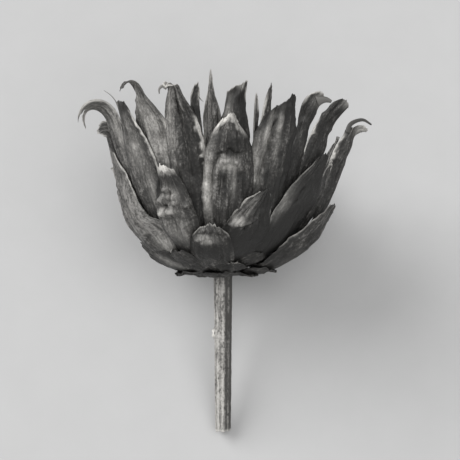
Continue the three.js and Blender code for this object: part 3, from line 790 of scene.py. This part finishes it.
def spot(t, v, b, place):
    """1 in the middle of a place on the bract, fading to 0 round it."""
    along, across, length, width = place
    dt = (t - along) * b["length"] / length
    dv = (v - across) * b["width"] / 2 / width
    return bell(np.hypot(dt, dv))


def fold_distance(b, t, v, path):
    """How far each point is from a fold's line, in mm."""
    scale = np.array([b["length"], b["width"] / 2])
    here = np.stack([t, v], -1) * scale
    best = np.full(t.shape, np.inf)
    for start, end in zip(path[:-1], path[1:]):
        first = np.array(start) * scale
        step = (np.array(end) - start) * scale
        share = np.clip((here - first) @ step / (step @ step), 0, 1)
        best = np.minimum(best, np.linalg.norm(here - first - share[..., None] * step, axis=-1))
    return best


def random_folds(b, rng):
    """Small lengthwise creases, some raised and some sunk, that a drying bract gets."""
    folds = []
    for _ in range(round(b["width"] / CREASE_SPACING)):
        start = rng.uniform(0.25, 0.7)
        length = rng.uniform(0.12, 0.3)
        across = rng.uniform(-0.8, 0.8, 1) + rng.uniform(-0.12, 0.12, 4)
        along = np.linspace(start, min(start + length, 0.98), 4)
        high = rng.choice([-1, 1]) * rng.uniform(0.25, 0.6) * b["width"] / USUAL_WIDTH
        folds.append((high, rng.uniform(0.45, 0.8), list(zip(along, across))))
    return folds


def waves(b, t, v, rng):
    """Height of the broad and short waves of the sheet and of its lengthwise fibres."""
    size = b["width"] / USUAL_WIDTH
    height = BROAD_WAVE * size * ease(0.3, 1.0, t) * drift_field(rng, t, v, 4, 2)
    height = height + SHORT_WAVE * size * drift_field(rng, t, v, 9, 4)
    fibres = max(6, round(b["width"] * 0.9))
    knots = max(6, round(b["length"] / 2.5))
    height = height + FIBRE_HEIGHT * drift_field(rng, t, v, 5, fibres)
    return height + FIBRE_KNOT_HEIGHT * drift_field(rng, t, v, knots, fibres)


def crumple(b, t, v, rng):
    """From -1 to 1 in small sharp wrinkles."""
    cells_t = max(5, round(b["length"] / CRUMPLE_SIZE[0]))
    cells_v = max(3, round(b["width"] / CRUMPLE_SIZE[1]))
    return 1 - 2 * np.abs(drift_field(rng, t, v, cells_t, cells_v))


def relief(b, look, t, v, rng):
    """Height of the waves, lumps, folds and wrinkles above the sheet."""
    height = waves(b, t, v, rng)
    for along, across, high, length, width in look["lumps"]:
        height = height + high * spot(t, v, b, (along, across, length, width))
    for high, width, path in [*look["folds"], *random_folds(b, rng)]:
        away = fold_distance(b, t + FOLD_WANDER * drift_field(rng, t, v, 30, 10), v, path)
        height = height + high * bell(away / width)
    height = height + CRUMPLE_HEIGHT * crumple(b, t, v, rng) * (0.5 + 0.8 * ease(0.4, 1, t))
    low, top, high, count = look["bumps"]
    for _ in range(count):
        place = (rng.uniform(low, top), rng.uniform(-0.8, 0.75), *rng.uniform(0.6, 1.4, 2))
        height = height + high * rng.uniform(-0.5, 1) * spot(t, v, b, place)
    return height * (ROOT_RELIEF + (1 - ROOT_RELIEF) * ease(0.05, 0.45, t))


def margin_inset(b, side, x, v, half):
    """How far each point is from the margin on a side, or from the tip and both margins for 0."""
    if side:
        return half * (1 - side * v)
    return np.minimum((1 - x) * b["length"], half * (1 - np.abs(v)))


def paleness(b, look, x, t, v, half, rng):
    """Where the bract is bleached and papery: its margins, its torn end and its own patches."""
    worn = 0.5 + 0.5 * drift_field(rng, t, v, max(6, round(b["length"] / 3)), 8)
    ragged = 0.5 * drift_field(rng, t, v, max(6, round(b["length"] / 1.5)), 14)
    pale = np.zeros_like(t)
    for side, first, last, width, strength in look["rims"]:
        inset = margin_inset(b, side, x, v, half)
        band = 1 - ease(0.5 * width, 1.3 * width, inset * (1 + ragged))
        stretch = ease(first - 0.04, first + 0.04, t) * (1 - ease(last, last + 0.06, t))
        pale = np.maximum(pale, strength * band * stretch * (0.6 + 0.5 * worn))
    for along, across, strength, length, width in look["pale"]:
        place = spot(t, v, b, (along, across, length, width))
        pale = np.maximum(pale, strength * place * (0.45 + 0.75 * worn))
    return np.clip(pale, 0, 1)


def toning(b, look, t, v, rng):
    """How much paler or darker than usual each point is: the whole bract's tone and its dark patches,
    both partly the bract's own colour and partly painted shade.
    """
    tone = look["tone"] + rng.uniform(-0.12, 0.12) + np.zeros_like(t)
    for along, across, strength, length, width in look["dark"]:
        tone = tone - strength * spot(t, v, b, (along, across, length, width))
    return tone


# ---------- one bract's points


def sheet_normal(sheet):
    along = np.gradient(sheet, axis=0)
    across = np.gradient(sheet, axis=1)
    return unit(np.cross(across, along))


def thickness(x, t, v):
    """Thinner towards the tip, and thinnest at the edges."""
    thick = THICK_BASE + (THICK_TIP - THICK_BASE) * t
    return THICK_EDGE + (thick - THICK_EDGE) * (1 - np.abs(v) ** 3) * (1 - ease(0.9, 1.0, x))


def bract_sheet(b, look, rng):
    """A bract as two faces of points and what the material reads there."""
    rows = max(14, round(b["length"] / CELL))
    columns = max(10, 2 * round(b["width"] / CELL / 2))
    x = np.linspace(0, 1, rows + 1)[:, None] + np.zeros((1, columns + 1))
    v = np.linspace(-1, 1, columns + 1)[None, :] + np.zeros((rows + 1, 1))
    t = x - (1 - tip_reach(b, look, v[:1], rng)) * ease(0.72, 1, x)
    half = ragged_half_width(b, look, t, v, rng)
    centre, side, out, curve = bract_frame(b, look, t)
    lateral, inward = cross_section(cross_bend(b, look, t, v, half, curve, rng), v, half)
    sheet = centre + side * lateral[..., None] - out * inward[..., None]
    height = relief(b, look, t, v, rng)
    sheet = sheet + sheet_normal(sheet) * height[..., None]
    normal = sheet_normal(sheet)
    thick = thickness(x, t, v)
    outer = sheet + normal * thick[..., None] / 2
    inner = sheet - normal * thick[..., None] / 2
    seed = rng.uniform(0, 50)
    fibre = np.stack([v * b["width"] / 2, t * b["length"], 0 * t + seed], -1)
    pale = paleness(b, look, x, t, v, half, rng)
    # The ridge value paints light and shade from the relief: paler on raised parts and darker in
    # hollows, partly as wear.
    return outer, inner, fibre, {"pale": pale, "ridge": height, "tone": toning(b, look, t, v, rng)}


def strand(b, look, row):
    """A torn thread as a tapered, flattened tube of points, starting on the bract."""
    along, across, width, path = row
    t = np.array([[along]])
    v = np.array([[across]])
    centre, side, out, _ = bract_frame(b, look, t)
    start = centre + side * (v * half_width(b, look, t, v))[..., None]
    near = bract_frame(b, look, t - 0.01)[0]
    forward = unit(centre - near)
    basis = np.stack([side[0, 0], forward[0, 0], out[0, 0]])
    knots = start[0, 0] + np.array(path) @ basis
    share = np.linspace(0, 1, 4 * len(path))
    line = np.stack([curve_through(knots[:, k], share) for k in range(3)], -1)
    tangent = unit(np.gradient(line, axis=0))
    first = unit(np.cross(tangent, basis[2]))
    second = np.cross(tangent, first)
    radius = width / 2 * (1 - STRAND_TAPER * share)
    angle = angles_round(STRAND_SIDES)[None, :, None]
    flat = first[:, None] * np.cos(angle) + STRAND_FLATNESS * second[:, None] * np.sin(angle)
    return line[:, None] + flat * radius[:, None, None]


def sheet_faces(rows, columns):
    """Quads that close an outer and an inner grid of rows by columns points."""
    index = np.arange(rows * columns).reshape(rows, columns)
    a, b, c, d = index[:-1, :-1], index[:-1, 1:], index[1:, 1:], index[1:, :-1]
    outer = np.stack([a, b, c, d], -1).reshape(-1, 4)
    inner = outer[:, ::-1] + rows * columns
    ring = np.concatenate([index[0, :-1], index[:-1, -1], index[-1, :0:-1], index[:0:-1, 0]])
    after = np.roll(ring, -1)
    rim = np.stack([after, ring, ring + rows * columns, after + rows * columns], -1)
    return np.concatenate([outer, inner, rim])


# ---------- laying down and making objects


def head_origin(frame):
    """Where the top of the stem lies in the frame, from the CAD stem's own points."""
    points = np.array([v.co for v in frame["nodes"]["stem"].data.vertices])
    along = (points @ AXIS).min() + STEM_LENGTH / 1000
    above = points @ TOP_SIDE
    aside = points[:, 0]
    origin = AXIS * along + TOP_SIDE * (above.max() + above.min()) / 2
    origin[0] = (aside.max() + aside.min()) / 2
    return origin


def lay_down(points, origin):
    """From the upright head in millimetres to the frame in metres."""
    x, y, z = points[..., 0], points[..., 1], points[..., 2]
    turned_y = y * math.sin(TILT) + z * math.cos(TILT)
    turned_z = z * math.sin(TILT) - y * math.cos(TILT)
    return np.stack([x, turned_y, turned_z], -1) / 1000 + origin


def add_object(name, data):
    thing = bpy.data.objects.new(name, data)
    bpy.context.scene.collection.objects.link(thing)
    return thing


def make_piece(name, vertices, faces, values, material):
    """A smooth mesh object with a float or vector value per point for each name in values."""
    mesh = bpy.data.meshes.new(name)
    mesh.from_pydata(vertices.tolist(), [], faces)
    mesh.shade_smooth()
    for key, data in values.items():
        kind = "FLOAT" if data.ndim == 1 else "FLOAT_VECTOR"
        layer = mesh.attributes.new(key, kind, "POINT")
        layer.data.foreach_set("value" if kind == "FLOAT" else "vector", data.astype(np.float32).ravel())
    mesh.materials.append(material)
    mesh.update()
    return add_object(name, mesh)


def ring_faces(rings, sides):
    """Faces of a stack of rings, closed onto an extra point below and then one above."""
    i = np.arange(rings - 1)[:, None] * sides
    j = np.arange(sides)[None, :]
    k = (j + 1) % sides
    side = np.stack([i + j, i + k, i + k + sides, i + j + sides], -1).reshape(-1, 4)
    bottom, top = rings * sides, rings * sides + 1
    j, k = j[0], k[0]
    high = (rings - 1) * sides
    low_cap = np.stack([np.full(sides, bottom), k, j], -1)
    high_cap = np.stack([np.full(sides, top), high + j, high + k], -1)
    return [*side.tolist(), *low_cap.tolist(), *high_cap.tolist()]


def make_rings(name, radius, height, origin, material, values):
    """A closed turned piece from radius and height grids of rings by sides."""
    rings, sides = radius.shape
    a = angles_round(sides)[None, :]
    grid = np.stack([radius * np.cos(a), radius * np.sin(a), height], -1)
    ends = np.stack([grid[0].mean(0), grid[-1].mean(0)])
    vertices = np.concatenate([grid.reshape(-1, 3), ends])
    full = {}
    for key, grid_values in values.items():
        flat = grid_values.reshape(rings * sides, -1)
        full[key] = np.squeeze(np.concatenate([flat, flat[[0, -1]]]))
    return make_piece(name, lay_down(vertices, origin), ring_faces(rings, sides), full, material)


def add_strand(tube, fibre, tone, parts, faces, values):
    """Adds a thread's points, faces and values to those of its bract."""
    rings, sides, _ = tube.shape
    first = sum(len(part) for part in parts)
    ends = np.stack([tube[0].mean(0), tube[-1].mean(0)])
    parts += [tube.reshape(-1, 3), ends]
    faces += [[k + first for k in face] for face in ring_faces(rings, sides)]
    size = rings * sides + 2
    values["fibre"].append(np.full((size, 3), fibre))
    values["pale"].append(np.full(size, STRAND_PALE))
    values["ridge"].append(np.zeros(size))
    values["inside"].append(np.zeros(size))
    values["tone"].append(np.full(size, tone + STRAND_TONE))


def all_bracts():
    """Every bract's values by name of column, from the outermost layer in."""
    always = len(COLUMNS) - len(UNBENT)
    for layer, (family, rows) in enumerate(LAYERS.items()):
        for place, row in enumerate(rows, 1):
            b = dict(zip(COLUMNS, row + UNBENT[len(row) - always :]))
            yield {**b, "name": f"{family}_{place}", "layer": layer, "start": STARTS[layer]}


def make_bract(b, number, origin, material):
    look = {**PLAIN_LOOK, **LOOKS.get(b["name"], {})}
    rng = np.random.default_rng(SEED + number)
    outer, inner, fibre, read = bract_sheet(b, look, rng)
    parts = [outer.reshape(-1, 3), inner.reshape(-1, 3)]
    faces = sheet_faces(*read["pale"].shape).tolist()
    ridge = read["ridge"].ravel()
    values = {
        "fibre": [fibre.reshape(-1, 3)] * 2,
        "pale": [read["pale"].ravel()] * 2,
        "tone": [read["tone"].ravel()] * 2,
        "ridge": [ridge, -ridge],
        "inside": [0 * ridge, 0 * ridge + 1],
    }
    for thread in look["strands"]:
        add_strand(strand(b, look, thread), fibre[-1, 0], look["tone"], parts, faces, values)
    vertices = np.concatenate(parts)
    values = {key: np.concatenate(data) for key, data in values.items()}
    return make_piece(b["name"] + "_look", lay_down(vertices, origin), faces, values, material)


# ---------- the stem


def stem_body(rng, share, a):
    """The stem's radius with its ribs, dents and flat faces, and where its ribs are."""
    plain = STEM_END_RADIUS + (STEM_TOP_RADIUS - STEM_END_RADIUS) * share
    wander = 0.25 * drift_field(rng, share, np.cos(a), 5, 3)
    ribs = np.cos(STEM_RIBS * a + wander * 3)
    radius = plain + STEM_RIB_HEIGHT * np.sign(ribs) * np.abs(ribs) ** 0.7
    radius = radius + STEM_DENT * drift_field(rng, share, np.cos(a), 40, 10)
    radius = radius + STEM_DENT * drift_field(rng, share, np.sin(a), 14, 14)
    for direction, share_out in STEM_FACES:
        facing = np.cos(a - math.radians(direction))
        flat = share_out * plain + 0.04 * ribs
        radius = np.where(facing > 0.5, np.minimum(radius, flat / np.maximum(facing, 0.5)), radius)
    return radius, ribs


def way_round(a, angle, radius):
    """How far round the stem each point is from an angle, in mm."""
    return np.angle(np.exp(1j * (a - angle))) * radius


def stem_pits(rng, height, a, radius):
    """1 in the middle of each small pit, of which the most are near the top of the stem."""
    pits = np.zeros_like(a)
    for _ in range(STEM_PITS):
        place = -STEM_LENGTH * rng.uniform(0, 1) ** 2.4
        side = rng.uniform(0, math.tau)
        along = rng.uniform(0.2, 0.7)
        round_by = rng.uniform(0.15, 0.35)
        turn = way_round(a, side, radius)
        pits = np.maximum(pits, bell(np.hypot((height - place) / along, turn / round_by)))
    return pits


def make_stem(origin, material):
    rng = np.random.default_rng(SEED + 500)
    grid = np.zeros((STEM_RINGS, STEM_SIDES))
    height = np.linspace(-STEM_LENGTH, -STEM_GAP, STEM_RINGS)[:, None] + grid
    a = angles_round(STEM_SIDES)[None, :] + grid
    share = (height + STEM_LENGTH) / STEM_LENGTH
    radius, ribs = stem_body(rng, share, a)
    pits = stem_pits(rng, height, a, radius)
    radius = radius - STEM_PIT_DEPTH * pits
    turn = way_round(a, math.radians(LEAF_SCAR_ANGLE), radius)
    away = np.hypot(height - LEAF_SCAR_HEIGHT, turn) / LEAF_SCAR_SIZE
    off_rim = (away - LEAF_SCAR_RIM) ** 2
    hollow = np.exp(-14 * away**2)
    radius = radius + LEAF_SCAR_RIM_HEIGHT * np.exp(-3 * off_rim) - LEAF_SCAR_DEPTH * hollow
    cut = 1 - ease(0, STEM_CUT_LENGTH, height + STEM_LENGTH)
    radius = radius * (1 - STEM_CUT_TAPER * cut)
    rough_end = STEM_CUT_ROUGHNESS * drift_field(rng, np.cos(a) / 2 + 0.5, np.sin(a), 5, 5)
    height = height + rough_end * (1 - ease(0, 3, height + STEM_LENGTH))
    worn = 0.5 + 0.5 * drift_field(rng, share, np.cos(a + 0.4), 22, 6)
    pale = 0.9 * np.exp(-4 * off_rim) + 0.5 * cut + 0.25 * worn * np.clip(ribs, 0, 1)
    dark = 3 * pits + 9 * hollow
    # Painted shade: the right side is coloured darker, stepping down sharply past its edge, as side
    # light from the left would leave it.
    painted_side_shade = 0.5 * np.cos(a) + np.tanh(STEM_SHADE_EDGE_SHARPNESS * (np.cos(a) - STEM_SHADE_EDGE))
    values = {
        "fibre": np.stack([a * STEM_TOP_RADIUS, height, 0 * a + 7], -1),
        "pale": np.clip(pale - dark, 0, 1),
        "inside": np.zeros_like(a),
        # painted light and shade, partly wear: rib tops paler and grooves darker
        "ridge": ribs,
        "tone": -0.3 - dark - painted_side_shade + 0.4 * drift_field(rng, share, np.sin(a), 9, 5),
    }
    return make_rings("stem_look", radius, height, origin, material, values)


# ---------- the receptacle


def receptacle_profile():
    """Radius and height from the stem up the outside and over the top, and how far out each ring is."""
    below, above = RECEPTACLE_RINGS
    s = np.linspace(RECEPTACLE_START / 2, RECEPTACLE_END, below)
    depth = RECEPTACLE_CLEARANCE + RECEPTACLE_SLOPE * np.maximum(s - RECEPTACLE_START, 0)
    _, r, h = inside_wall(s, depth)
    top = np.linspace(1, 0.02, above)
    dish = h[-1] + RECEPTACLE_TOP_RISE - RECEPTACLE_TOP_DISH * (1 - top**2)
    r = np.concatenate([r, r[-1] * top])
    h = np.concatenate([h, np.where(top > 0.97, (h[-1] + dish) / 2, dish)])
    return r, h, np.concatenate([s, 0 * top + RECEPTACLE_END])


def floret_scars(x, y, radius):
    """From -1 in each floret's scar to 1 between them, with the scars set in spirals."""
    number = np.arange(SCAR_COUNT)
    turn = number * math.pi * (3 - math.sqrt(5))
    away = radius * np.sqrt((number + 0.5) / SCAR_COUNT)
    nearest = np.full(x.shape, np.inf)
    for r, a in zip(away, turn):
        nearest = np.minimum(nearest, np.hypot(x - r * math.cos(a), y - r * math.sin(a)))
    return 1 - 2 * bell(nearest / SCAR_RADIUS)


def make_receptacle(origin, material):
    rng = np.random.default_rng(SEED + 600)
    r, h, outness = receptacle_profile()
    below = RECEPTACLE_RINGS[0]
    a = angles_round(RECEPTACLE_SIDES)
    swing = np.cos(a)[None, :] + 0 * r[:, None]
    uneven = drift_field(rng, (swing + 1) / 2, np.sin(a)[None, :] + 0 * swing, 4, 4)
    shrunk = ease(RECEPTACLE_END / 2, RECEPTACLE_END, outness)
    radius = r[:, None] * (1 - 0.035 * shrunk[:, None] * (1 + uneven))
    x, y = radius * np.cos(a), radius * np.sin(a)
    on_top = (np.arange(len(r)) >= below)[:, None]
    upper = on_top * (1 - ease(0.93, 1.0, radius / r[below]))
    scars = floret_scars(x, y, r[below])
    swell = drift_field(rng, (x / r.max() + 1) / 2, y / r.max(), 5, 5)
    grain = PITH_GRAIN * rng.uniform(-1, 1, x.shape)
    height = h[:, None] + upper * (SCAR_HEIGHT * scars + PITH_SWELL * swell + grain)
    values = {
        "fibre": np.stack([x, y, 0 * x + 3], -1),
        "pale": np.clip(0.25 + 0.35 * scars + 0.3 * swell, 0, 1) * upper,
        "inside": np.zeros_like(x),
        # partly painted shade: the sunken floret scars darker and the rims between them paler
        "ridge": 1.5 * upper * scars,
        "tone": 0.8 * swell,
    }
    return make_rings("receptacle_look", radius, height, origin, material, values)


# ---------- materials


class Graph:
    """A material's node tree with short ways to add nodes to it."""

    def __init__(self, name):
        self.material = bpy.data.materials.new(name)
        self.material.use_nodes = True
        self.tree = self.material.node_tree
        self.shader = self.tree.nodes["Principled BSDF"]

    def add(self, kind, inputs=(), **settings):
        node = self.tree.nodes.new(kind)
        for key, value in settings.items():
            setattr(node, key, value)
        for key, value in dict(inputs).items():
            self.put(node.inputs[key], value)
        return node

    def put(self, socket, value):
        if isinstance(value, bpy.types.NodeSocket):
            self.tree.links.new(value, socket)
        else:
            socket.default_value = value

    def attribute(self, name, vector=False):
        node = self.add("ShaderNodeAttribute", attribute_name=name)
        return node.outputs["Vector" if vector else "Fac"]

    def math(self, operation, a, b=0.0, c=0.0, clamp=False):
        node = self.add("ShaderNodeMath", {0: a, 1: b, 2: c}, operation=operation, use_clamp=clamp)
        return node.outputs[0]

    def total(self, *terms, start=0.0):
        """A start value plus each term's value times its weight."""
        for value, weight in terms:
            start = self.math("MULTIPLY_ADD", value, weight, start)
        return start

    def noise(self, vector, scale, detail=4.0, roughness=0.6):
        scaled = self.add("ShaderNodeVectorMath", {0: vector, 1: scale}, operation="MULTIPLY")
        inputs = {"Vector": scaled.outputs[0], "Scale": 1.0, "Detail": detail, "Roughness": roughness}
        return self.add("ShaderNodeTexNoise", inputs).outputs["Fac"]

    def ramp(self, value, stops):
        node = self.add("ShaderNodeValToRGB", {"Fac": value})
        elements = node.color_ramp.elements
        stops = list(stops)
        while len(elements) < len(stops):
            elements.new(0.5)
        for element, (place, colour) in zip(elements, stops):
            element.position = place
            element.color = (*colour, 1.0)
        return node.outputs["Color"]

    def mix(self, factor, a, b):
        node = self.add("ShaderNodeMix", {"Factor": factor}, data_type="RGBA")
        self.put(node.inputs["A"], a)
        self.put(node.inputs["B"], b)
        return node.outputs["Result"]

    def set(self, name, value):
        self.put(self.shader.inputs[name], value)


def dry_skin(name):
    """Dry plant skin: lengthwise fibres, blotches and specks, bleached where the piece says so."""
    skin = SKINS[name]
    g = Graph(name)
    fibre = g.attribute("fibre", vector=True)
    broad = g.noise(fibre, BROAD_FIBRES, 3.0)
    fine = g.noise(fibre, FINE_FIBRES, 4.0, 0.65)
    blotch = g.noise(fibre, BLOTCHES, 5.0, 0.62)
    speck = g.noise(fibre, SPECKS, 4.0, 0.7)
    streaks = g.total((broad, 0.55), (fine, 0.75))
    marks = ((g.attribute(name), weight) for name, weight in MARKS.items())
    shade = g.total((streaks, 1.0), (blotch, 0.65), (speck, 1.05), *marks, start=-1.0)
    wear = g.total((speck, 0.9), (streaks, 0.7), start=-0.45)
    pale = g.math("MULTIPLY", g.attribute("pale"), g.math("MULTIPLY", wear, 2.3), clamp=True)
    colour = g.ramp(shade, zip(SKIN_STOPS, skin["colours"]))
    g.set("Base Color", g.mix(pale, colour, (*skin["bleached"], 1.0)))
    g.set("Roughness", g.total((fine, DULLEST - GLOSSIEST), (pale, 0.2), start=GLOSSIEST))
    g.set("Specular IOR Level", 0.35)
    height = g.total((streaks, 0.7), (speck, 0.3))
    bump = g.add("ShaderNodeBump", {"Height": height, "Strength": 0.75, "Distance": skin["bump"]})
    g.set("Normal", bump.outputs[0])
    return g.material


def floor_material():
    g = Graph("surface")
    place = g.add("ShaderNodeTexCoord").outputs["Object"]
    grain = g.noise(place, (60.0, 60.0, 60.0), 3.0)
    low, high = SURFACE_SHADES
    g.set("Base Color", g.ramp(grain, [(0.3, (low,) * 3), (0.7, (high,) * 3)]))
    g.set("Roughness", 0.9)
    g.set("Specular IOR Level", 0.1)
    return g.material


# ---------- stage


def make_floor():
    half = SURFACE_HALF_WIDTH
    mesh = bpy.data.meshes.new("surface")
    corners = [(-half, -half, 0), (half, -half, 0), (half, half, 0), (-half, half, 0)]
    mesh.from_pydata(corners, [], [(0, 1, 2, 3)])
    mesh.materials.append(floor_material())
    return add_object("surface", mesh)


def aim(thing, place, target, up):
    """Puts a camera or light at a place, looking at a target, with up upwards in its view."""
    back = (Vector(place) - Vector(target)).normalized()
    right = Vector(up).cross(back).normalized()
    over = back.cross(right)
    matrix = Matrix((right, over, back)).transposed().to_4x4()
    matrix.translation = Vector(place)
    thing.matrix_world = matrix


def make_camera(origin):
    """Looks down on the head, square to its axis."""
    axis = Vector(AXIS)
    target = Vector(origin) + axis * CAMERA_UP + Vector((CAMERA_RIGHT, 0, 0))
    data = bpy.data.cameras.new("camera")
    data.sensor_width = SENSOR
    data.lens = SENSOR * CAMERA_DISTANCE / CAMERA_FIELD
    data.clip_start = 0.05
    camera = add_object("camera", data)
    aim(camera, target + Vector(TOP_SIDE) * CAMERA_DISTANCE, target, axis)
    bpy.context.scene.camera = camera


def make_light(name, place, size, watts):
    data = bpy.data.lights.new(name, "AREA")
    data.shape = "DISK"
    data.size = size
    data.energy = watts
    aim(add_object(name, data), place, LIGHT_TARGET, (0, 1, 0.01))


def make_world():
    world = bpy.data.worlds.new("world")
    world.use_nodes = True
    background = world.node_tree.nodes["Background"]
    background.inputs["Color"].default_value = (1, 1, 1, 1)
    background.inputs["Strength"].default_value = WORLD_STRENGTH
    bpy.context.scene.world = world


# ---------- everything


def main():
    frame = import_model()
    origin = head_origin(frame)
    skins = {name: dry_skin(name) for name in SKINS}
    for number, b in enumerate(all_bracts()):
        piece = make_bract(b, number, origin, skins["dry_bract"])
        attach(piece, "root")
        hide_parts(b["name"])
    stem = make_stem(origin, skins["dry_stem"])
    receptacle = make_receptacle(origin, skins["dry_pith"])
    for piece, node in ((stem, "stem"), (receptacle, "receptacle")):
        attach(piece, "root")
        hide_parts(node)
    make_floor()
    make_camera(origin)
    for name, light in LIGHTS.items():
        make_light(name, **light)
    make_world()
    bpy.context.scene.view_settings.view_transform = "Standard"


main()
